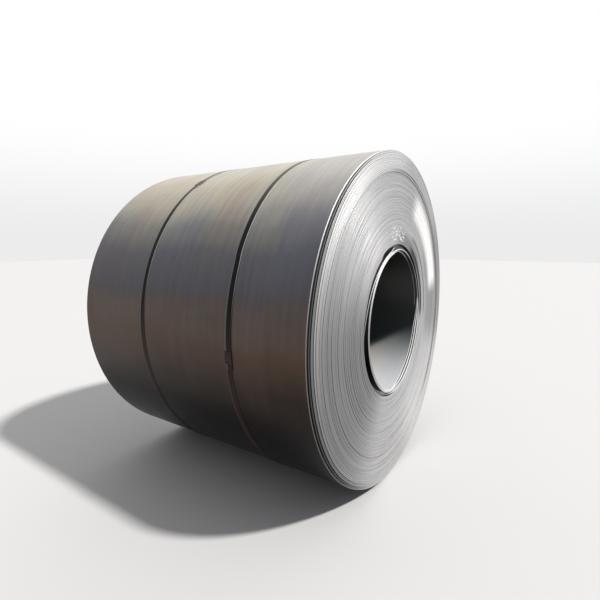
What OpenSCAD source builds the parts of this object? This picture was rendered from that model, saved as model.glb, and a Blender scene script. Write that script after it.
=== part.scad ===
// Hot-rolled steel coil, lying on its side with the bore level.
// The bore runs along Y. The near end, which carries the proud inner turns, faces -Y.
// The origin is on the floor, under the middle of the coil's envelope.

/* [Coil] */
// Outside diameter of the wound strip
coil_od = 1800; // [1300:10:2200]
// Bore diameter, the size of the winding mandrel
bore_d = 762; // [508:1:900]
// Width of the strip, which is the coil's length along its bore
strip_w = 1500; // [900:10:2000]
// Thickness of the strip
strip_t = 8; // [5:0.5:16]
// Chamfer along both edges of the strip
edge_chamfer = 1.2; // [0.5:0.1:2]

/* [Winding] */
// Turns next to the bore that stand proud of the near end
rim_turns = 2; // [2:1:6]
// How far those turns stand proud
rim_proud = 12; // [5:1:30]
// Turns behind the rim that are drawn back into a groove
groove_turns = 3; // [2:1:6]
// Depth of that groove below the body's end
groove_depth = 20; // [10:1:45]
// Turns of the outer band, under the last two, that stand a little proud
band_turns = 11; // [4:1:14]
// How far the outer band stands proud of the body
band_proud = 4; // [4:1:12]
// How far the last turn but one is drawn back behind the outer band
second_inset = 4; // [3:1:15]
// How far the last turn is drawn back behind the outer band
last_inset = 11; // [9:1:40]
// Slow wander of the strip's edge through the body
wander = 2; // [0:0.5:4]
// How far neighbouring turns are out of line with each other
stagger = 0.8; // [0.4:0.1:1.5]

/* [Straps] */
// Width of the steel strapping
strap_w = 32; // [19:1:51]
// Thickness of the steel strapping
strap_t = 1; // [0.6:0.1:1.5]
// Distance of the rear strap behind the middle of the strip
rear_strap_y = 256; // [60:1:380]
// Distance of the front strap before the middle of the strip
front_strap_y = 330; // [60:1:380]
// Clearance between the strap and the last turn
strap_clear = 0.3; // [0.2:0.1:0.5]
// How far the upper end of a strap lies beside the lower one where they lap
lap_offset = 6; // [0:1:10]
// Length of the rear strap's lap
rear_lap = 150; // [90:10:400]
// Length of the front strap's lap
front_lap = 400; // [90:10:600]

/* [Seals] */
// Length of the seal that grips the lapped strap
seal_len = 58; // [40:1:80]
// Thickness of the seal's sheet
seal_t = 1.4; // [0.8:0.1:2]
// Clearance inside the seal
seal_clear = 0.2; // [0.1:0.1:0.4]
// Clock position of the rear seal, seen from the near end, from +X towards +Z
rear_seal_angle = 122; // [95:1:140]
// Clock position of the front seal
front_seal_angle = 184; // [95:1:200]

/* [Hidden] */
$fn = 180;

coil_r = coil_od / 2;
bore_r = bore_d / 2;
turns = floor((coil_r - bore_r) / strip_t);
pitch = (coil_r - bore_r) / turns;
band_start = turns - 2 - band_turns;
body_start = rim_turns + groove_turns;

// Angle that a length of strap or seal takes up on the coil
function arc_of(length) = length / coil_r * 180 / PI;

// Neighbouring turns alternate in and out, so no two edges are level
function jitter(i) = stagger * (i % 2 == 0 ? 1 : -1) * (0.7 + 0.3 * sin(i * 77));
function drift(i) = wander * sin((i - body_start) / (band_start - body_start) * 540);

// Shift of turn i along the bore towards the near end, counted from the innermost turn
function shift(i) =
    (i < rim_turns ? rim_proud
    : i < body_start ? -groove_depth
    : i < band_start ? drift(i)
    : i < turns - 2 ? band_proud
    : i == turns - 2 ? band_proud - second_inset
    : band_proud - last_inset) + jitter(i);

shifts = [for (i = [0:turns - 1]) shift(i)];
near_reach = strip_w / 2 + max(shifts);
far_reach = strip_w / 2 - min(shifts);
envelope_shift = (near_reach - far_reach) / 2;

strap_in = coil_r + strap_clear;
strap_out = strap_in + strap_t;
axis_height = strap_out;

// Turned shapes are drawn about Z with the near end up, then laid along Y on the floor
module lay_down() {
    translate([0, envelope_shift, axis_height])
        rotate([90, 0, 0])
            children();
}

// The four corners of turn i at one end: side is 1 at the near end and -1 at the far end
function edge_points(i, side) =
    let (r = bore_r + i * pitch, z = shifts[i] + side * strip_w / 2, c = edge_chamfer)
    [[r, z - side * c], [r + c, z], [r + pitch - c, z], [r + pitch, z - side * c]];

coil_outline = concat(
    [for (i = [0:turns - 1]) each edge_points(i, -1)],
    [for (i = [turns - 1:-1:0]) let (p = edge_points(i, 1)) each [p[3], p[2], p[1], p[0]]]);

module coil() {
    color([0.36, 0.36, 0.38])
        lay_down()
            rotate_extrude()
                polygon(coil_outline);
}

// A hoop of strapping, with its upper end lapped over the lower one from the seal upwards
module strap(z, seal_angle, lap) {
    color([0.12, 0.12, 0.14])
        lay_down()
            translate([0, 0, z])
                union() {
                    rotate_extrude()
                        translate([strap_in, -strap_w / 2])
                            square([strap_t, strap_w]);
                    rotate([0, 0, seal_angle - arc_of(lap)])
                        rotate_extrude(angle = arc_of(lap) + arc_of(seal_len))
                            translate([strap_in + strap_t / 2, lap_offset - strap_w / 2])
                                square([strap_t * 1.5, strap_w]);
                }
}

module rear_strap() { strap(-rear_strap_y, rear_seal_angle, rear_lap); }
module front_strap() { strap(front_strap_y, front_seal_angle, front_lap); }

// A seal is a channel of sheet folded over both layers of the lapped strap
module seal(z, seal_angle) {
    inner_half = (strap_w + lap_offset) / 2 + seal_clear;
    outer_half = inner_half + seal_t;
    roof_in = strap_out + strap_t + seal_clear;
    roof_out = roof_in + seal_t;
    color([0.2, 0.2, 0.22])
        lay_down()
            translate([0, 0, z + lap_offset / 2])
                rotate([0, 0, seal_angle - arc_of(seal_len) / 2])
                    rotate_extrude(angle = arc_of(seal_len))
                        polygon([
                            [strap_in, -outer_half], [roof_out, -outer_half],
                            [roof_out, outer_half], [strap_in, outer_half],
                            [strap_in, inner_half], [roof_in, inner_half],
                            [roof_in, -inner_half], [strap_in, -inner_half]]);
}

module rear_seal() { seal(-rear_strap_y, rear_seal_angle); }
module front_seal() { seal(front_strap_y, front_seal_angle); }

coil();
rear_strap();
front_strap();
rear_seal();
front_seal();
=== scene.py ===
# %% [markdown]
# # A coil of hot-rolled steel
#
# Hot-rolled strip leaves the mill as one long band and is wound on a mandrel into a coil.
# Two steel straps with crimped seals keep it from springing open.
# The CAD frame is loaded first, because every piece below is placed from its numbers.

# %% Load the frame
import math

import bpy
import numpy as np
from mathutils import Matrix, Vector


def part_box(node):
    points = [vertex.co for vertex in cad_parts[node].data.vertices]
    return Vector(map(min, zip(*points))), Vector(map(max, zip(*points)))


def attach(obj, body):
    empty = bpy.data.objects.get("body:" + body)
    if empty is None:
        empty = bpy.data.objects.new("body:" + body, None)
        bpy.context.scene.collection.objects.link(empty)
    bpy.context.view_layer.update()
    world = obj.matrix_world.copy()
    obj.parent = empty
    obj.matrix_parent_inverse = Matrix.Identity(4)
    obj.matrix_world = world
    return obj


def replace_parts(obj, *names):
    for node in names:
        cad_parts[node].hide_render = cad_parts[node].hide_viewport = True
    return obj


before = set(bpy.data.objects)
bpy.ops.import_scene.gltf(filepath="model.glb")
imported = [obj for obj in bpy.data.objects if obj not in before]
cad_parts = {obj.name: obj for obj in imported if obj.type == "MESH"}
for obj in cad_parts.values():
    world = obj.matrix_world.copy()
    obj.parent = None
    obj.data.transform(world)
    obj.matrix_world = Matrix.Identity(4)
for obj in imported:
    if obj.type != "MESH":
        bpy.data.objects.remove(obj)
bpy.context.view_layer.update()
print("CAD nodes:", sorted(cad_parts))

# %% [markdown]
# ## Where things are
#
# The bore lies level along Y, and the near end faces -Y. The coil's box gives the height of
# its axis. Angles round the coil are clock positions seen from the near end: 0 is +X, 90 is up.
# The strip's middle lies a little in front of the box's middle, because some turns at the far end
# stand out further than any turn at the near end does.

# %% Measures
BORE_RADIUS = 0.381
COIL_RADIUS = 0.9
STRIP_WIDTH = 1.5
TURNS = 64
PITCH = (COIL_RADIUS - BORE_RADIUS) / TURNS

coil_low, coil_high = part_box("coil")
AXIS_HEIGHT = (coil_low.z + coil_high.z) / 2
MOST_PROUD = 0.01256       # furthest that a turn stands out at the near end
MOST_DRAWN = 0.02037       # furthest that a turn is drawn back
MIDDLE_Y = (MOST_PROUD - MOST_DRAWN) / 2
print(f"axis {AXIS_HEIGHT:.4f} m up, middle at y {MIDDLE_Y:.4f} m, pitch {PITCH * 1000:.2f} mm")

# %% [markdown]
# ## Working like a modeller
#
# Blender's operators act on whatever is selected, so each step starts from a clean selection
# of one object. These short helpers enter and leave edit mode in that state.


# %% Selection helpers
def pick(thing):
    """Make one object the only one selected, and the active one."""
    bpy.ops.object.select_all(action="DESELECT")
    thing.select_set(True)
    bpy.context.view_layer.objects.active = thing


def open_up(thing):
    """Enter edit mode on one object, with all of it selected."""
    pick(thing)
    bpy.ops.object.mode_set(mode="EDIT")
    bpy.ops.mesh.select_all(action="SELECT")


def close_up():
    """Leave edit mode."""
    bpy.ops.object.mode_set(mode="OBJECT")


def choose(thing, wanted):
    """Enter edit mode with only the points picked out by a list of true and false selected."""
    open_up(thing)
    bpy.ops.mesh.select_mode(type="VERT")
    bpy.ops.mesh.select_all(action="DESELECT")
    close_up()
    thing.data.vertices.foreach_set("select", wanted)
    bpy.ops.object.mode_set(mode="EDIT")


def points_of(thing):
    """All of a mesh's points as rows of x, y, z."""
    flat = np.empty(len(thing.data.vertices) * 3)
    thing.data.vertices.foreach_get("co", flat)
    return flat.reshape(-1, 3)


def move_points(thing, points):
    """Put a mesh's points where the rows of x, y, z say."""
    thing.data.vertices.foreach_set("co", points.ravel())
    thing.data.update()


def ease(value):
    """0 below 0, 1 above 1, and a smooth rise between."""
    value = np.clip(value, 0, 1)
    return value * value * (3 - 2 * value)


def triangles_in(thing):
    """How many triangles a mesh's faces come to."""
    return sum(len(face.vertices) - 2 for face in thing.data.polygons)


# %% [markdown]
# ## The strip's section
#
# Cut through a coil beside its axis and you see the strip many times over, stacked like cards:
# a thin upright rectangle for every turn. One rectangle is drawn as a plane, its corners are
# bevelled as the mill's edging rolls leave them, and an Array modifier stacks the rest.
# A hair of air is left between turns, which is what draws the fine dark rings on the ends.

# %% Draw the section
AIR_GAP = 0.00025
EDGE_BEVEL = 0.0012


def strip_section(name, middle, thick, wide, bevel):
    """A bevelled rectangle in the plane of X and Y, at clock position 0."""
    bpy.ops.object.select_all(action="DESELECT")
    bpy.ops.mesh.primitive_plane_add(size=1, location=middle)
    section = bpy.context.object
    section.name = section.data.name = name
    section.scale = (thick, wide, 1)
    bpy.ops.object.transform_apply(location=True, rotation=True, scale=True)
    open_up(section)
    bpy.ops.mesh.bevel(offset=bevel, segments=1, affect="VERTICES")
    bpy.ops.mesh.select_all(action="SELECT")
    bpy.ops.mesh.delete(type="ONLY_FACE")
    close_up()
    return section


winding = strip_section(
    "coil_winding", (BORE_RADIUS + (PITCH - AIR_GAP) / 2, MIDDLE_Y, AXIS_HEIGHT),
    PITCH - AIR_GAP, STRIP_WIDTH, EDGE_BEVEL)
SECTION_POINTS = len(winding.data.vertices)

stack = winding.modifiers.new("turns", "ARRAY")
stack.count = TURNS
stack.use_relative_offset = False
stack.use_constant_offset = True
stack.constant_offset_displace = (PITCH, 0, 0)
pick(winding)
bpy.ops.object.modifier_apply(modifier=stack.name)
print("section:", SECTION_POINTS, "points a turn,", len(winding.data.vertices), "in all")

# %% [markdown]
# ## Spinning the turns
#
# Spin sweeps the stack once round the axis. The last copy lands on the first, and is left
# unmerged for now, because each ring still has to be opened and joined to the next one.

# %% Spin the stack round the bore
SPIN_STEPS = 180
stack_points = len(winding.data.vertices)
open_up(winding)
bpy.ops.mesh.spin(
    steps=SPIN_STEPS, angle=math.tau, use_auto_merge=False,
    center=(0, 0, AXIS_HEIGHT), axis=(0, 1, 0))
close_up()
print("spun:", len(winding.data.vertices), "points, expected", stack_points * (SPIN_STEPS + 1))

# %% [markdown]
# ## From rings to one long strip
#
# Closed rings are not a coil. On a real one each turn climbs over the one below by the strip's
# thickness, and its edges wander as the mill steers the strip. Both depend only on how far along
# the strip a point is, counted in turns, so every point is moved by a function of that number.
# The climb is gathered into a short arc, as happens where turns ride over the strip's buried head.
#
# The near end isn't flat. The turns at the mouth stand out, a few just outside them are drawn
# in and leave a groove, and the outermost turns step out again. On the left the outer turns are
# set back instead, one behind the other. A list of CLOCKS holds clock positions in degrees, and
# the SHARES after it say how much of an effect is felt at each.

# %% Levels of the near end, in metres
CLIMB_ARC = math.radians(30)
TAIL_CLOCK = math.radians(-62)
HEAD_CLOCK = math.radians(6)
LEVELS = [          # turn where a group starts, how far it stands out, turns taken to get there
    (0, 0.0120, 0.1), (2, -0.0200, 0.4), (5, 0.0, 0.5),
    (51, 0.0040, 0.8), (62, 0.0028, 0.3), (63, 0.0012, 0.4)]
GROOVE_DEPTH = 0.020
GROOVE_CLOCKS = [0, 25, 45, 95, 112, 122, 165, 185, 205, 235, 262, 272, 285, 340, 360]
GROOVE_SHARES = [.3, .7, 1, 1, .8, .15, .15, .45, .85, 1, 1, .2, .05, .05, .3]
MOUTH_STEP = 0.012
MOUTH_CLOCKS = [0, 20, 60, 98, 258, 300, 360]
MOUTH_SHARES = [-.3, 0, .1, 1, 1, .5, -.3]
THIRD_TURN_LEVEL = 0.0115
THIRD_TURN_CLOCKS = [0, 88, 108, 128, 182, 360]
THIRD_TURN_SHARES = [0, 0, 1, 1, 0, 0]
FUNNEL_CLOCKS = [0, 15, 258, 278, 300, 345, 360]
FUNNEL_SHARES = [.5, 0, 0, .6, 1, 1, .5]
FUNNEL_LEVELS = [   # turn, how far it stands out
    (0, -0.0200), (1.5, -0.0200), (2.5, -0.0125), (3.5, -0.0115), (4.5, -0.0045),
    (5.5, -0.0035), (7, 0.0)]
LEFT_SLOPE = 0.0080     # gradual set-back of the outer turns on the left
LEFT_STEPS = [(60, 0.0025), (62, 0.0040), (63, 0.0070)]     # further steps: turn, set-back
HEAD_RECESS = 0.016
HEAD_CLOCKS = [0, 84, 104, 360]
HEAD_SHARES = [1, 1, 0, 0]
MIDDLE_TURNS = (5, 51)
WANDER = 0.0016         # slow swing of the middle turns to and fro
LEAST_RIPPLE, EXTRA_RIPPLE = 0.0008, 0.0009     # everywhere, and low on the left besides
RIPPLES = [         # waves a turn, where the wave starts, its share
    (0.437, 1.1, 0.40), (0.291, 4.0, 0.30), (1.613, 2.2, 0.16), (2.381, 0.4, 0.10),
    (7.3, 3.0, 0.05)]


# %% How far the strip's edge stands out
def stand_out(turn, clock):
    """How far the strip's edge stands out at the near end, at a place along the strip."""
    level = np.full_like(turn, LEVELS[0][1])
    for (start, height, taken), (_, before, _) in zip(LEVELS[1:], LEVELS):
        level += (height - before) * ease((turn - start) / taken + 0.5)
    degrees = np.mod(np.degrees(clock), 360)
    in_groove = ease((turn - 2) / 0.4 + 0.5) - ease((turn - 5) / 0.5 + 0.5)
    level += GROOVE_DEPTH * in_groove * (1 - np.interp(degrees, GROOVE_CLOCKS, GROOVE_SHARES))
    level -= MOUTH_STEP * (turn < 2) * (1 - np.interp(degrees, MOUTH_CLOCKS, MOUTH_SHARES))
    third_turn = (np.floor(turn) == 2) * np.interp(degrees, THIRD_TURN_CLOCKS, THIRD_TURN_SHARES)
    level += third_turn * (THIRD_TURN_LEVEL - level)
    level -= HEAD_RECESS * (turn < 0.5) * np.interp(degrees, HEAD_CLOCKS, HEAD_SHARES)
    drawn_in = np.interp(np.floor(turn + 0.17) + 0.5, *zip(*FUNNEL_LEVELS))
    funnel = np.interp(degrees, FUNNEL_CLOCKS, FUNNEL_SHARES) * ease((7 - turn) / 1.5)
    level += funnel * (drawn_in - level)
    left_side = ease((-np.cos(clock) - 0.1) / 0.8)
    set_back = LEFT_SLOPE * ease((turn - 46) / 12)
    set_back += sum(step * ease((turn - start) / 0.4 + 0.5) for start, step in LEFT_STEPS)
    level -= left_side * set_back
    first, last = MIDDLE_TURNS
    body = ease((turn - first - 0.5) / 2) * ease((last - turn) / 3)
    level += WANDER * body * np.sin((turn - first) / (last - first) * math.tau * 1.5)
    low_left = ease(-np.sin(clock) * 0.6 - np.cos(clock) * 0.6 + 0.2)
    rough = LEAST_RIPPLE + EXTRA_RIPPLE * low_left
    ripple = sum(share * np.sin(math.tau * times * turn + start) for times, start, share in RIPPLES)
    calm = 0.35 + 0.65 * ease((turn - 5) / 1.5) * ease((62 - turn) / 1.0)
    return np.clip(level + rough * ripple * calm, -MOST_DRAWN, MOST_PROUD)


# %% [markdown]
# The spin's own order of points says which copy of the stack each point is in, and its distance
# from the axis says which turn. The place along the strip is stored on the mesh as well, in
# metres, because scale, dirt and scratches follow the strip and the finishes read it there.

# %% Wind the strip
points = points_of(winding)
radius = np.hypot(points[:, 0], points[:, 2] - AXIS_HEIGHT)
ring = np.clip(np.floor((radius - BORE_RADIUS) / PITCH + 0.002), 0, TURNS - 1)
spun = np.arange(len(points)) // stack_points * (math.tau / SPIN_STEPS)
measured = np.mod(np.arctan2(points[:, 2] - AXIS_HEIGHT, points[:, 0]), math.tau)
slip = np.abs(np.mod(spun - measured + math.pi, math.tau) - math.pi).max()
print(f"spin order agrees with the points to {slip:.5f} radians")

turn = ring + spun / math.tau
clock = spun + TAIL_CLOCK
depth_in_strip = radius - BORE_RADIUS - ring * PITCH
across = points[:, 1] - MIDDLE_Y
radius = radius + PITCH * ease((spun - math.tau + CLIMB_ARC) / CLIMB_ARC)
points[:, 0] = radius * np.cos(clock)
points[:, 1] -= stand_out(turn, clock)
points[:, 2] = AXIS_HEIGHT + radius * np.sin(clock)
move_points(winding, points)

length_along = math.tau * (BORE_RADIUS * turn + PITCH * turn * turn / 2)
place = winding.data.attributes.new("strip_place", "FLOAT_VECTOR", "POINT")
placed = np.column_stack([length_along, across, depth_in_strip])
place.data.foreach_set("vector", placed.astype(np.float32).ravel())
wound = winding.data.attributes.new("strip_turn", "FLOAT", "POINT")
wound.data.foreach_set("value", turn.astype(np.float32))
print(f"the strip is {length_along.max():.0f} m long")

# %% [markdown]
# The last turn would climb over a turn that isn't there, so it is cut off where its climb would
# start. That leaves the strip's free tail, one thickness high, low on the far side. The first turn
# is cut as well, so that the strip's head lies on the far side of the bore. Then the rings' ends
# are merged into one strip and its two cut ends are closed.

# %% Cut the tail and the head, join the rings, close both ends
MERGE_WITHIN = 0.00004
surplus = (ring == TURNS - 1) & (spun > math.tau - CLIMB_ARC + 0.001)
surplus |= (ring == 0) & (spun < HEAD_CLOCK - TAIL_CLOCK - 0.001)
choose(winding, surplus)
bpy.ops.mesh.delete(type="VERT")
bpy.ops.mesh.select_all(action="SELECT")
bpy.ops.mesh.remove_doubles(threshold=MERGE_WITHIN)
bpy.ops.mesh.fill_holes(sides=SECTION_POINTS)
bpy.ops.mesh.select_all(action="SELECT")
bpy.ops.mesh.normals_make_consistent(inside=False)
close_up()
print("coil winding:", triangles_in(winding), "triangles")

# %% [markdown]
# ## The straps
#
# Each strap is one band of steel strip. It starts under its own end, goes once round the coil,
# rides up over its start and stops just past the seal. The band is never perfectly straight
# where it laps, so the upper layer lies a few millimetres to one side of the lower one.
# A strap is a spin again: a thin bevelled section is spun a little more than once round.

# %% Strap and seal measures
STRAP_WIDTH = 0.032
STRAP_THICK = 0.001
STRAP_BEVEL = 0.00025
STRAP_CLEAR = 0.0001
LAP_OFFSET = 0.006
LAP_RAMP = math.radians(5)
LAP_CLEAR = 0.00005
STRAP_STEP = math.radians(1.25)
SEAL_LENGTH = 0.058
SEAL_ROOM = 0.0002
SEAL_SHEET = 0.0014
STRAPS = {          # where the strap lies, clock position of its seal, length of its lap
    "rear": (MIDDLE_Y + 0.256, math.radians(122), 0.150),
    "front": (MIDDLE_Y - 0.330, math.radians(184), 0.400)}


# %% Make the straps
def strapping(name, middle_y, seal_clock, lap):
    """One strap round the coil, lapped over its own start as far as the seal."""
    inner = COIL_RADIUS + STRAP_CLEAR
    start_clock = seal_clock - lap / COIL_RADIUS
    sweep = math.tau + (lap + SEAL_LENGTH) / COIL_RADIUS
    middle = (inner + STRAP_THICK / 2, middle_y, AXIS_HEIGHT)
    band = strip_section(name, middle, STRAP_THICK, STRAP_WIDTH, STRAP_BEVEL)
    band_points = len(band.data.vertices)
    steps = round(sweep / STRAP_STEP)
    open_up(band)
    bpy.ops.mesh.spin(steps=steps, angle=sweep, use_auto_merge=False,
                      center=(0, 0, AXIS_HEIGHT), axis=(0, 1, 0))
    bpy.ops.mesh.select_all(action="DESELECT")
    bpy.ops.mesh.select_non_manifold(extend=False, use_wire=False, use_multi_face=False,
                                     use_non_contiguous=False, use_verts=False)
    bpy.ops.mesh.fill_holes(sides=band_points)
    close_up()
    points = points_of(band)
    swept = np.arange(len(points)) // band_points * (sweep / steps)
    radius = np.hypot(points[:, 0], points[:, 2] - AXIS_HEIGHT)
    across = points[:, 1] - middle_y
    rise = ease((swept - math.tau + LAP_RAMP) / LAP_RAMP)
    drift = 0.0006 * np.sin(3 * swept) + 0.0004 * np.sin(7 * swept + 1)
    radius = radius + rise * (STRAP_THICK + LAP_CLEAR)
    points[:, 0] = radius * np.cos(swept + start_clock)
    points[:, 1] -= LAP_OFFSET * rise + drift
    points[:, 2] = AXIS_HEIGHT + radius * np.sin(swept + start_clock)
    move_points(band, points)
    place = band.data.attributes.new("strap_place", "FLOAT_VECTOR", "POINT")
    placed = np.column_stack([swept * COIL_RADIUS, across, rise])
    place.data.foreach_set("vector", placed.astype(np.float32).ravel())
    open_up(band)
    bpy.ops.mesh.normals_make_consistent(inside=False)
    close_up()
    bpy.ops.object.shade_smooth_by_angle(angle=math.radians(30))
    print(name, triangles_in(band), "triangles")
    return band


straps = {side: strapping(f"{side}_strapping", *STRAPS[side]) for side in STRAPS}

# %% [markdown]
# ## The seals
#
# A seal is a short sleeve of sheet steel folded round both layers of strap and crimped with a
# notching tool, which nips its two edges inwards. The roof starts as a grid on top of the coil.
# Its long edges are extruded down as side walls, and moving points makes the nips and bends the
# sheet to the coil. Solidify gives it its thickness, Bevel rounds its edges, and the finished
# seal is turned about the axis to its clock position.

# %% Seal measures
NIPS = (-0.0145, 0.0145)
NIP_DEPTH = 0.0028
NIP_LENGTH = 0.0032
NIP_REACH = 0.006


# %% Fold and nip the sheet
def nipped_sheet(name, sleeve_y):
    """A seal's sheet on top of the coil: its roof, its two walls and the nips in them."""
    half_width = (STRAP_WIDTH + LAP_OFFSET) / 2 + SEAL_ROOM
    roof = COIL_RADIUS + STRAP_CLEAR + 2 * STRAP_THICK + SEAL_ROOM
    bpy.ops.object.select_all(action="DESELECT")
    bpy.ops.mesh.primitive_grid_add(
        x_subdivisions=24, y_subdivisions=8, size=1, location=(0, sleeve_y, AXIS_HEIGHT + roof))
    sleeve = bpy.context.object
    sleeve.name = sleeve.data.name = name
    sleeve.scale = (SEAL_LENGTH, 2 * half_width, 1)
    bpy.ops.object.transform_apply(location=True, rotation=True, scale=True)

    drop = STRAP_CLEAR - (roof - COIL_RADIUS)
    for edge in (-1, 1):
        points = points_of(sleeve)
        choose(sleeve, np.abs(points[:, 1] - sleeve_y - edge * half_width) < 0.0005)
        bpy.ops.mesh.extrude_edges_move(TRANSFORM_OT_translate={"value": (0, 0, drop)})
        close_up()

    points = points_of(sleeve)
    outward = np.sign(points[:, 1] - sleeve_y)
    at_side = ease((np.abs(points[:, 1] - sleeve_y) - half_width + NIP_REACH) / NIP_REACH)
    nip = sum(np.exp(-((points[:, 0] - x) / NIP_LENGTH) ** 2) for x in NIPS)
    points[:, 1] -= outward * at_side * nip * NIP_DEPTH
    points[:, 2] -= points[:, 0] ** 2 / (2 * COIL_RADIUS)
    move_points(sleeve, points)
    return sleeve


# %% Make the seals
def crimped_seal(name, middle_y, seal_clock):
    """One sheet-steel sleeve, made on top of the coil and turned to its clock position."""
    sleeve = nipped_sheet(name, middle_y - LAP_OFFSET / 2)
    open_up(sleeve)
    bpy.ops.mesh.normals_make_consistent(inside=False)
    close_up()
    wall = sleeve.modifiers.new("sheet", "SOLIDIFY")
    wall.thickness = SEAL_SHEET
    wall.offset = 1
    wall.use_even_offset = True
    soften = sleeve.modifiers.new("worn edges", "BEVEL")
    soften.width = 0.0003
    soften.segments = 2
    soften.limit_method = "ANGLE"
    for modifier in (wall.name, soften.name):
        pick(sleeve)
        bpy.ops.object.modifier_apply(modifier=modifier)

    open_up(sleeve)
    bpy.ops.transform.rotate(
        value=seal_clock - math.pi / 2, orient_axis="Y", center_override=(0, 0, AXIS_HEIGHT))
    close_up()
    bpy.ops.object.shade_smooth_by_angle(angle=math.radians(35))
    low, high = points_of(sleeve).min(0), points_of(sleeve).max(0)
    print(name, triangles_in(sleeve), "triangles, from", low.round(3), "to", high.round(3))
    return sleeve


seals = {side: crimped_seal(f"{side}_crimped_seal", *STRAPS[side][:2]) for side in STRAPS}
for side in STRAPS:
    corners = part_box(f"{side}_seal")
    print(side, "CAD seal", [tuple(round(v, 3) for v in corner) for corner in corners])

# %% [markdown]
# ## Writing finishes as sums
#
# A finish is a graph of nodes, but most of it is plain arithmetic: this mask times that, one
# minus the wear. `Wire` wraps a socket so that Python's own signs add the Math nodes, and
# `Finish.node` adds every other kind of node from its type, its settings and its inputs.


# %% Shader helpers
class Wire:
    """One output socket that takes part in Python arithmetic."""

    def __init__(self, finish, socket):
        self.finish, self.socket = finish, socket

    def maths(self, operation, *others):
        """The result of one of Blender's Math operations."""
        values = dict(enumerate([self, *others]))
        return self.finish.node("ShaderNodeMath", {"operation": operation}, values)

    def __add__(self, other):
        return self.maths("ADD", other)

    def __sub__(self, other):
        return self.maths("SUBTRACT", other)

    def __mul__(self, other):
        return self.maths("MULTIPLY", other)

    def __truediv__(self, other):
        return self.maths("DIVIDE", other)

    def __pow__(self, other):
        return self.maths("POWER", other)

    def __rsub__(self, other):
        return self.finish.node("ShaderNodeMath", {"operation": "SUBTRACT"}, {0: other, 1: self})

    __radd__ = __add__
    __rmul__ = __mul__

    def between(self, low, high):
        """0 at low and below, 1 at high and above, smooth between."""
        return self.finish.node(
            "ShaderNodeMapRange", {"interpolation_type": "SMOOTHSTEP"},
            {"Value": self, "From Min": low, "From Max": high})


class Finish:
    """The nodes of a material or a surround, and the one way that they are added."""

    def __init__(self, owner):
        self.owner = owner
        owner.use_nodes = True
        self.tree = owner.node_tree
        self.tree.nodes.clear()

    def node(self, kind, settings=None, inputs=None, output=0):
        """Add a node, set it, wire its inputs, and hand back one of its outputs."""
        made = self.tree.nodes.new(kind)
        for name, value in (settings or {}).items():
            if name == "stops":
                self.set_stops(made.color_ramp, value)
            else:
                setattr(made, name, value)
        for name, value in (inputs or {}).items():
            socket = made.inputs[name]
            if isinstance(value, Wire):
                self.tree.links.new(value.socket, socket)
            else:
                socket.default_value = value
        return Wire(self, made.outputs[output]) if made.outputs else None

    @staticmethod
    def set_stops(ramp, stops):
        """Give a colour ramp its (position, colour) stops."""
        while len(ramp.elements) < len(stops):
            ramp.elements.new(1)
        for element, (position, colour) in zip(ramp.elements, stops):
            element.position, element.color = position, (*colour, 1)

    def blend(self, share, first, second, way="MIX"):
        """Mix two colours; each is a wire or three numbers."""
        first, second = ((*c, 1) if isinstance(c, tuple) else c for c in (first, second))
        return self.node("ShaderNodeMix", {"data_type": "RGBA", "blend_type": way},
                         {0: share, 6: first, 7: second}, output=2)

    def parts(self, vector):
        """A vector's three numbers as three wires."""
        split = self.node("ShaderNodeSeparateXYZ", None, {0: vector})
        return [Wire(self, socket) for socket in split.socket.node.outputs]

    def vector(self, x, y, z):
        """Three numbers or wires joined into one vector."""
        return self.node("ShaderNodeCombineXYZ", None, {0: x, 1: y, 2: z})

    def noise(self, vector, scale=1.0, detail=2.0, roughness=0.5):
        """Soft noise from 0 to 1 with a middle of 0.5."""
        return self.node("ShaderNodeTexNoise", None, {
            "Vector": vector, "Scale": scale, "Detail": detail, "Roughness": roughness})

    def stored(self, name):
        """What a mesh stores under a name, as (vector, number)."""
        read = self.node("ShaderNodeAttribute", {"attribute_name": name}, output=1)
        return read, Wire(self, read.socket.node.outputs[2])

    def around(self):
        """Cosine and sine of the clock position, distance from the axis, and place along it."""
        x, y, z = self.parts(self.node("ShaderNodeTexCoord", output=3))
        up = z - AXIS_HEIGHT
        distance = (x * x + up * up) ** 0.5
        return x / distance, up / distance, distance, y

    def bump(self, height, strength, distance):
        """A normal tilted as if the surface rose and fell with a height."""
        return self.node("ShaderNodeBump", None, {
            "Height": height, "Strength": strength, "Distance": distance})

    def steel(self, **inputs):
        """Close the graph with a Principled shader; underscores stand for spaces in names."""
        named = {name.replace("_", " "): value for name, value in inputs.items()}
        shader = self.node("ShaderNodeBsdfPrincipled", None, named)
        self.node("ShaderNodeOutputMaterial", None, {0: shader})
        print(self.owner.name, "has", len(self.tree.nodes), "nodes")
        return self.owner


# %% [markdown]
# ## Mill scale
#
# The strip's faces carry mill scale, the thin blue-black oxide that forms as it cools. It has a
# satin sheen, fine streaks along the rolling direction, and tints that drift from blue-grey to
# brown where the water sprays cooled it unevenly. All of it follows the strip, so the pattern
# reads the stored place along the strip and is drawn out along its length. The tone also follows
# the height: the top is paler, partly with the dust that settles on a coil lying in a yard and
# partly with a painted sheen, and the underside is darker, partly damp and partly painted shade.

# %% Patterns in the scale
scale = Finish(bpy.data.materials.new("mill_scale"))
along, across, deep = scale.parts(scale.stored("strip_place")[0])
cosine, sine, distance, y = scale.around()

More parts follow.
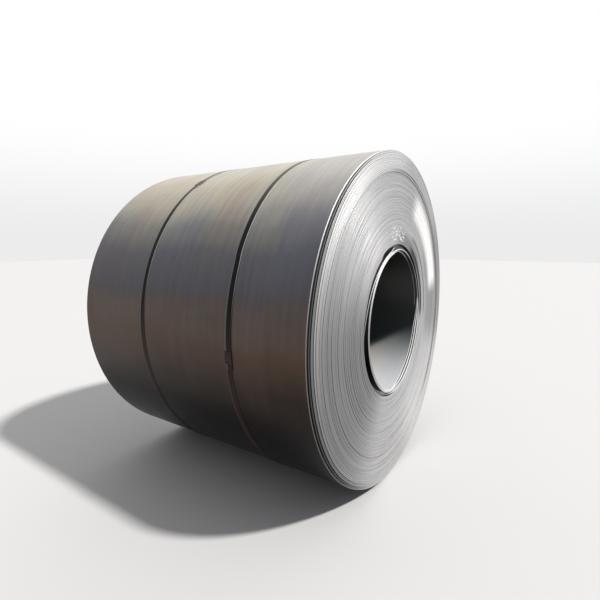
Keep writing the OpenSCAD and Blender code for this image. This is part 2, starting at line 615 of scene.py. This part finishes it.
streaks = scale.noise(scale.vector(along * 1.2, across * 160, deep * 10), detail=4, roughness=0.6)
bands = scale.noise(scale.vector(along * 0.15, across * 9, 0.0), detail=3)
clouds = scale.noise(scale.vector(along * 1.1, across * 1.6, 3.0), detail=4, roughness=0.6)
flecks = scale.noise(scale.vector(along * 2.5, across * 38, 1.0), detail=3, roughness=0.6)
bars = scale.noise(scale.vector(along * 6.5, across * 0.5, 7.0), detail=2)
specks = scale.noise(scale.vector(along * 60, across * 120, 0.0), detail=3, roughness=0.7)

# %% Tone and painted light by height, tint by patches
# The tone by height paints the top paler, with dust and a painted sheen, and the underside darker,
# with damp and painted shade.
height = 0.5 + sine * 0.5 - across * 0.015
height = height + (clouds - 0.5) * 0.16 + (bars - 0.5) * 0.05 + (bands - 0.5) * 0.08
height_tone_and_painted_light = scale.node("ShaderNodeValToRGB", {"stops": [
    (0.26, (0.008, 0.007, 0.007)), (0.38, (0.024, 0.015, 0.011)), (0.48, (0.072, 0.040, 0.025)),
    (0.57, (0.115, 0.089, 0.076)), (0.64, (0.108, 0.104, 0.120)), (0.73, (0.121, 0.119, 0.136)),
    (0.79, (0.210, 0.202, 0.196)), (0.86, (0.395, 0.362, 0.314)), (0.94, (0.560, 0.525, 0.455))]},
    {"Fac": height})
hue = scale.noise(scale.vector(along * 1.6, across * 2.3, 21.0), detail=3)
sheen = scale.node("ShaderNodeValToRGB", {"stops": [
    (0.36, (0.84, 0.88, 1.00)), (0.45, (0.92, 0.97, 0.97)), (0.55, (1.00, 0.98, 0.88)),
    (0.66, (1.00, 0.89, 0.84))]}, {"Fac": hue + across * 0.16})
toned = scale.blend(1.0, height_tone_and_painted_light, sheen, way="MULTIPLY")
height_tone_and_painted_light = scale.blend(height.between(0.56, 0.76) * 0.8, height_tone_and_painted_light, toned)
uneven = (streaks - 0.5) * 0.3 + (bands - 0.5) * 0.4 + (flecks - 0.5) * 0.5 + 0.1
colour = scale.blend(uneven, height_tone_and_painted_light, (0.028, 0.024, 0.022))
colour = scale.blend(specks.between(0.62, 0.75) * 0.2 * height, colour, (0.25, 0.22, 0.19))
rough = 0.40 + (streaks - 0.5) * 0.14 + (clouds - 0.5) * 0.12 + (bands - 0.5) * 0.08
metal = 0.90 - height.between(0.30, 0.56) * 0.45

# %% [markdown]
# ## Hidden faces and the bore wall, with painted shade and painted sunlight
#
# Rolled faces also show between stepped turns. They are painted nearly black, partly dirt and
# partly painted shade in the recesses, while only the outermost turn carries dust. The bore's wall
# is the first turn's inner face. Low near the mouth it is pale, partly where the mandrel has rubbed
# the scale off and partly painted sunlight whose edge follows the sun's shadow. Further along it
# is painted dark, darkest at the top: a painted shade.

# %% Bore wall and hidden faces
PAST_FIRST_TURN = (0.3895, 0.3925)      # distances from the axis, with a soft step between
UNDER_LAST_FACE = (0.8925, 0.8955)
inner_wall = 1 - distance.between(*PAST_FIRST_TURN)
# Faces inside the last face are painted nearly black: dirt and painted shade in the recesses.
colour = scale.blend(distance.between(*UNDER_LAST_FACE), (0.016, 0.015, 0.018), colour)
# Painted sunlight low near the mouth, its edge drawn along the sun's shadow, over wall rubbed pale
# by the mandrel.
rubbed_and_painted_sunlit_wall = inner_wall * (0 - sine).between(0.15, 1.0) * (0 - y - sine * 0.68).between(0.83, 0.97)
wall_hue = scale.noise(scale.vector(along * 3.0, across * 5.0, 11.0), detail=2)
wall = scale.node("ShaderNodeValToRGB", {"stops": [
    (0.35, (0.50, 0.53, 0.55)), (0.50, (0.56, 0.56, 0.56)), (0.62, (0.58, 0.56, 0.50))]},
    {"Fac": wall_hue})
wall = scale.blend((streaks - 0.5) * 0.8 + 0.15, wall, (0.40, 0.40, 0.40))
# The rest of the bore wall is painted dark, darkest at the top: painted shade.
painted_shade_wall = scale.blend(sine.between(-0.5, 0.7), (0.030, 0.037, 0.039), (0.003, 0.003, 0.003))
colour = scale.blend(inner_wall, colour, painted_shade_wall)
colour = scale.blend(rubbed_and_painted_sunlit_wall, colour, wall)
rough = rough + rubbed_and_painted_sunlit_wall * 0.1
metal = metal * (1 - inner_wall * 0.9)

# %% Relief of the scale
swell = scale.bump(bars * 0.6 + clouds * 0.5, 0.35, 0.004)
scratches = streaks * 0.7 + specks * 0.3
relief = scale.node("ShaderNodeBump", None, {
    "Height": scratches, "Strength": 0.25, "Distance": 0.0004, "Normal": swell})
mill_scale = scale.steel(Base_Color=colour, Metallic=metal, Roughness=rough, Normal=relief)

# %% [markdown]
# ## The strip's edges
#
# The edges are bright, because handling and the mill's edging rolls keep scale from holding
# there. Every turn shines a little differently, and thin dark lines run along each. The number
# of the turn sets a turn's own tone, and noise drawn out along the strip adds the lines.

# %% Plain edge steel
edge = Finish(bpy.data.materials.new("bright_edge"))
along, across, deep = edge.parts(edge.stored("strip_place")[0])
turn_number = edge.stored("strip_turn")[1]
cosine, sine, distance, y = edge.around()

own_tone = edge.noise(edge.vector(turn_number * 1.37, 0.0, 0.0), detail=2)
lines = edge.noise(edge.vector(along * 1.5, 0.0, deep * 900), detail=4, roughness=0.65)
patches = edge.noise(edge.vector(along * 3, turn_number * 0.35, 0.0), detail=3)
grain = edge.noise(edge.vector(along * 120, 0.0, deep * 2500), detail=2)
flaking = edge.noise(edge.vector(along * 34, turn_number * 0.9, 5.0), detail=3)

colour = edge.blend((own_tone - 0.5) * 1.6 + 0.5, (0.36, 0.36, 0.37), (0.58, 0.58, 0.585))
colour = edge.blend(lines.between(0.45, 0.72) * 0.5, colour, (0.17, 0.17, 0.175))
colour = edge.blend(patches.between(0.5, 0.75) * 0.3, colour, (0.26, 0.25, 0.235))

# %% [markdown]
# ## Finding places on an end
#
# Marks on an end are placed by direction from the axis, by distance from it, and by turn. A mask
# is 1 where the mark is and eases to 0 outside, and the product of two masks is a soft patch.


# %% Masks for the edges
def towards(right, up):
    """How far a place lies towards a direction from the axis: 1 along it, 0 at right angles."""
    return cosine * right + sine * up


def belt(low, full, falling, end):
    """1 between two distances from the axis, easing to 0 on both sides."""
    return distance.between(low, full) * (1 - distance.between(falling, end))


def from_turn(number):
    """0 on the turns before a numbered one, and 1 from it on."""
    return turn_number.between(number - 0.1, number + 0.1)


near_end = (y * -1).between(0.1, 0.2)
left = cosine * -1

# %% [markdown]
# ## Rubbed steel, painted highlights and painted shade
#
# The turns at the mouth are rubbed, most of all low on the right. The rim on the left carries a
# painted highlight, and so does a nearly white arc to the right of the bore; handling has left
# small scuffs above the bore. The turns low on the left carry a painted shade, and a softer
# painted shade lies right of the bore and just above it.

# %% Broad marks
# The rim on the left is a painted highlight, summed into rubbed with the worn mouth turns.
painted_rim_highlight = towards(-0.97, 0.26).between(0.80, 0.98) * distance.between(0.78, 0.86)
rubbed_low = towards(0.80, -0.60).between(0.0, 0.7) * (1 - turn_number.between(5.5, 6.5))
mouth_turns = 1 - (turn_number + cosine * 0.5).between(2.2, 2.6)
rubbed = (painted_rim_highlight * 0.6 + mouth_turns * 0.7 + rubbed_low * 0.7).maths("MINIMUM", 0.9)
# Low on the left the turns are painted darker: a painted shade.
painted_shade_low_left = towards(-0.94, -0.34).between(0.60, 1.00)
shaded_right = towards(0.985, 0.17).between(0.80, 0.97) * distance.between(0.50, 0.58)
shaded_above = (1 - distance.between(0.450, 0.520)) * towards(0.42, 0.91).between(0.85, 0.97)
# The nearly white arc right of the bore is a painted highlight; the scuffs above the bore are wear.
painted_highlight_arc = belt(0.590, 0.650, 0.720, 0.780) * towards(0.77, 0.64).between(0.84, 0.93) * near_end
scuffs = belt(0.430, 0.450, 0.500, 0.530) * sine.between(0.97, 0.99)
scuffs = scuffs * flaking.between(0.51, 0.60) * near_end
# bare holds the painted highlight of the arc and the worn scuffs.
bare = (painted_highlight_arc * 0.9 + scuffs * 0.7).maths("MINIMUM", 1.0)

colour = edge.blend(rubbed, colour, (0.82, 0.82, 0.82))
colour = edge.blend(painted_shade_low_left * 0.70, colour, (0.11, 0.108, 0.110))
colour = edge.blend(shaded_right * 0.44, colour, (0.15, 0.15, 0.15))
colour = edge.blend(shaded_above * 0.6, colour, (0.13, 0.13, 0.13))
colour = edge.blend(bare, colour, (0.88, 0.88, 0.88))

# %% [markdown]
# ## Single turns that stand out
#
# Where one turn stands out from the next, painted shade draws a dark line well inside the rim,
# a few lines right of the mouth, and lines along the last turns. Two places, the top of the rim
# and a stretch low on the right, carry painted highlights and are a little paler.

# %% Lines along turns
# Painted shade at steps between turns: a dark line well inside the rim, and lines right of the
# mouth.
painted_step_shade = belt(0.7995, 0.8025, 0.8095, 0.8135) * towards(0.91, 0.42).between(0.20, 0.50)
painted_mouth_shade = belt(0.420, 0.427, 0.453, 0.460) * 0.92 + belt(0.493, 0.499, 0.518, 0.524) * 0.55
painted_mouth_shade = painted_mouth_shade + (1 - from_turn(3)) * 0.75
painted_mouth_shade = painted_mouth_shade * towards(0.87, 0.50).between(0.78, 0.90) * near_end
last_turn = from_turn(TURNS - 1)
# Painted shade along the set-back last turns, on the left and upper right.
shaded_last_but_one = from_turn(TURNS - 2) * (1 - last_turn)
shaded_last_but_one = shaded_last_but_one * (left.between(0.30, 0.80) + cosine.between(0.15, 0.50) * 0.7)
painted_shade_outer_left = left.between(0.2, 0.8) * from_turn(TURNS - 4) * (1 - shaded_last_but_one - last_turn)
painted_shade_outer_left = painted_shade_outer_left * 0.65 + last_turn * painted_shade_low_left * 0.6
# Painted highlights brighten the top of the rim and a stretch low on the right.
painted_highlight_top = distance.between(0.78, 0.84) * towards(-0.30, 0.95).between(0.85, 0.98)
painted_highlight_low = distance.between(0.50, 0.70) * towards(0.70, -0.72).between(0.80, 0.98)
pale = painted_highlight_top * (1 - shaded_last_but_one) * 0.45 + painted_highlight_low * (1 - painted_step_shade) * 0.3

colour = edge.blend(painted_step_shade * 0.8, colour, (0.10, 0.10, 0.10))
colour = edge.blend(painted_mouth_shade, colour, (0.03, 0.03, 0.03))
colour = edge.blend(painted_shade_outer_left, colour, (0.10, 0.10, 0.10))
colour = edge.blend(shaded_last_but_one * 0.9, colour, (0.045, 0.045, 0.05))
colour = edge.blend(pale, colour, (0.80, 0.80, 0.80))

# %% Sheen and relief of the edges
rough = 0.46 + (grain - 0.5) * 0.2 + (own_tone - 0.5) * 0.16 + painted_shade_low_left * 0.1
metal = 0.6 - painted_highlight_arc * 0.4 - scuffs * 0.4
relief = edge.bump(lines * 0.6 + grain * 0.4, 0.4, 0.0006)
bright_edge = edge.steel(Base_Color=colour, Metallic=metal, Roughness=rough, Normal=relief)

# %% [markdown]
# ## Strapping and seals
#
# Steel strapping is lacquered blue-black. The lacquer is thin and rubs off along the strap's far
# edge and in short scratches, so bare steel shows there; along the near edge, on the upper half,
# bare steel's colour is a painted highlight. It is brown with rust low down and dusty on top.
# The seals are the same steel, rubbed further by the crimping tool.


# %% Strap and seal finishes
def lacquer(name, body, bare, dust, edge_mask):
    """Dark lacquer over steel, with a mask that says where bare steel shows: where the lacquer is
    rubbed off, and on a strap also a painted highlight.
    """
    finish = Finish(bpy.data.materials.new(name))
    x, y, z = finish.parts(finish.node("ShaderNodeTexCoord", output=3))
    spots = finish.noise(finish.vector(x * 90, y * 300, z * 90), detail=4, roughness=0.7)
    cloud = finish.noise(finish.vector(x * 6, y * 20, z * 6), detail=3)
    up = (z - AXIS_HEIGHT) / COIL_RADIUS
    # Where bare steel shows: wear, and on straps a painted highlight along the near edge.
    worn = edge_mask(finish, spots, up)
    colour = finish.blend((cloud - 0.5) * 1.2 + 0.4, body, tuple(c * 1.9 for c in body))
    colour = finish.blend((1 - up.between(-0.1, 0.2)) * 0.6, colour, (0.030, 0.012, 0.009))
    colour = finish.blend(up.between(0.55, 1.0) * dust, colour, (0.30, 0.275, 0.24))
    colour = finish.blend(worn * (up.between(-0.3, 0.8) * 0.7 + 0.2), colour, bare)
    rough = 0.46 + (spots - 0.5) * 0.2 + worn * 0.05
    relief = finish.bump(spots, 0.3, 0.0003)
    return finish.steel(Base_Color=colour, Metallic=worn * 0.6, Roughness=rough,
                        Specular_IOR_Level=0.12, Normal=relief)


def strap_wear(finish, spots, up):
    """Wear along a strap's far edge and in scratches, and a painted highlight along its near edge;
    up is -1 below the coil and 1 on top.
    """
    along, across, layer = finish.parts(finish.stored("strap_place")[0])
    rubbed = finish.noise(finish.vector(along * 14, across * 60, layer), detail=4, roughness=0.7)
    # The near edge on the upper half is a painted highlight in bare steel's colour.
    near_edge_highlight = (across * -1).between(0.0122, 0.0145) * up.between(0.0, 0.4)
    far_edge = across.between(0.0122, 0.0145) * (1 - up.between(0.2, 0.6) * 0.5) * 0.8
    return (near_edge_highlight + far_edge + rubbed.between(0.64, 0.80) * 0.3).maths("MINIMUM", 1.0)


def seal_wear(finish, spots, up):
    """Wear in spots all over a seal."""
    return spots.between(0.52, 0.7) * 0.7


strap_steel = lacquer("strap_lacquer", (0.004, 0.004, 0.005), (0.56, 0.54, 0.48), 0.4, strap_wear)
seal_steel = lacquer("seal_lacquer", (0.014, 0.012, 0.012), (0.40, 0.38, 0.36), 0.3, seal_wear)

# %% [markdown]
# ## Giving each piece its finish
#
# The winding has two finishes. A face that looks along the bore is an edge of the strip and
# bright; every other face is a rolled face and dark. The bevels look halfway and count as edge.

# %% Put the finishes on
winding.data.materials.append(mill_scale)
winding.data.materials.append(bright_edge)
facing = np.empty(len(winding.data.polygons) * 3)
winding.data.polygons.foreach_get("normal", facing)
is_edge = np.abs(facing.reshape(-1, 3)[:, 1]) > 0.5
winding.data.polygons.foreach_set("material_index", is_edge.astype(np.int32))
print("edge faces:", int(is_edge.sum()), "rolled faces:", int((~is_edge).sum()))

open_up(winding)
bpy.ops.mesh.select_mode(type="FACE")
bpy.ops.mesh.select_all(action="DESELECT")
close_up()
winding.data.polygons.foreach_set("select", is_edge)
bpy.ops.object.mode_set(mode="EDIT")
bpy.ops.mesh.region_to_loop()
bpy.ops.mesh.mark_sharp()
close_up()
bpy.ops.object.shade_smooth_by_angle(angle=math.radians(55), keep_sharp_edges=True)
for side in STRAPS:
    straps[side].data.materials.append(strap_steel)
    seals[side].data.materials.append(seal_steel)

# %% [markdown]
# ## Tying the pieces to the frame
#
# Each piece rides on the object's one body and stands in for its CAD solid.

# %% Ride and replace
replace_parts(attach(winding, "root"), "coil")
for side in STRAPS:
    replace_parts(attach(straps[side], "root"), f"{side}_strap")
    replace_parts(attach(seals[side], "root"), f"{side}_seal")

# %% [markdown]
# ## The studio
#
# A plain pale floor and a soft surround, brighter on the far side and overhead than behind the
# camera, which puts the pale sheen on top of the coil and leaves its flank dark. One sun lamp
# stands high in front of the near end. It lights the end and reaches into the mouth of the bore.

# %% Floor
bpy.ops.object.select_all(action="DESELECT")
bpy.ops.mesh.primitive_plane_add(size=60, location=(0, 0, 0))
floor = bpy.context.object
floor.name = "studio_floor"
paint = Finish(bpy.data.materials.new("pale_floor"))
x, y, z = paint.parts(paint.node("ShaderNodeTexCoord", output=3))
mottle = paint.noise(paint.vector(x, y, z), scale=2.0, detail=4)
grey = paint.blend(mottle * 0.15, (0.50, 0.50, 0.50), (0.45, 0.45, 0.45))
floor.data.materials.append(paint.steel(Base_Color=grey, Roughness=0.9))

# %% Surround
world = bpy.data.worlds.new("studio_surround")
bpy.context.scene.world = world
surround = Finish(world)
x, y, z = surround.parts(surround.node("ShaderNodeTexCoord", output=0))
towards_sky = x * 0.60 + y * 0.40 + z * 0.69
soft = surround.node("ShaderNodeValToRGB", {"stops": [
    (0.0, (0.34, 0.34, 0.36)), (0.50, (0.42, 0.42, 0.44)), (0.70, (0.58, 0.58, 0.60)),
    (0.85, (0.86, 0.86, 0.86)), (1.0, (1.0, 0.98, 0.95))]}, {"Fac": towards_sky * 0.5 + 0.5})
backdrop = surround.blend(z.between(0.0, 0.25), (0.84, 0.84, 0.84), (1.0, 1.0, 1.0))
seen = surround.node("ShaderNodeLightPath", output=0)
light = surround.blend(seen, soft, backdrop)
glow = surround.node("ShaderNodeBackground", None, {0: light, 1: 1.0})
surround.node("ShaderNodeOutputWorld", None, {0: glow})
print("surround:", len(surround.tree.nodes), "nodes")

# %% Sun lamp
SUN_FROM = Vector((0.163, -0.606, 0.779))
sun = bpy.data.lights.new("sun_lamp", "SUN")
sun.energy = 4.4
sun.angle = math.radians(4)
sun.color = (1.0, 0.98, 0.95)
sun_lamp = bpy.data.objects.new("sun_lamp", sun)
bpy.context.scene.collection.objects.link(sun_lamp)
sun_lamp.location = SUN_FROM * 6
sun_lamp.rotation_euler = (-SUN_FROM).to_track_quat("-Z", "Y").to_euler()
print(f"the sun stands {math.degrees(math.asin(SUN_FROM.normalized().z)):.0f} degrees high")

# %% [markdown]
# ## The camera
#
# It stands close to the coil's flank, a little above the bore, with a wide lens, so the near end
# is foreshortened on the right and the flank fills the left.

# %% Camera
FROM_MIDDLE = Vector((-2.1437, -1.5271, 0.4336))
LOOKING = Vector((0.8258, 0.5458, -0.1420))
camera_data = bpy.data.cameras.new("camera")
camera_data.lens = 24.29
camera_data.sensor_width = 36
camera = bpy.data.objects.new("camera", camera_data)
bpy.context.scene.collection.objects.link(camera)
camera.location = Vector((0, MIDDLE_Y, AXIS_HEIGHT)) + FROM_MIDDLE
camera.rotation_euler = LOOKING.to_track_quat("-Z", "Y").to_euler()
bpy.context.scene.camera = camera
print("camera at", [round(v, 3) for v in camera.location])
bpy.context.scene.view_settings.view_transform = "Standard"
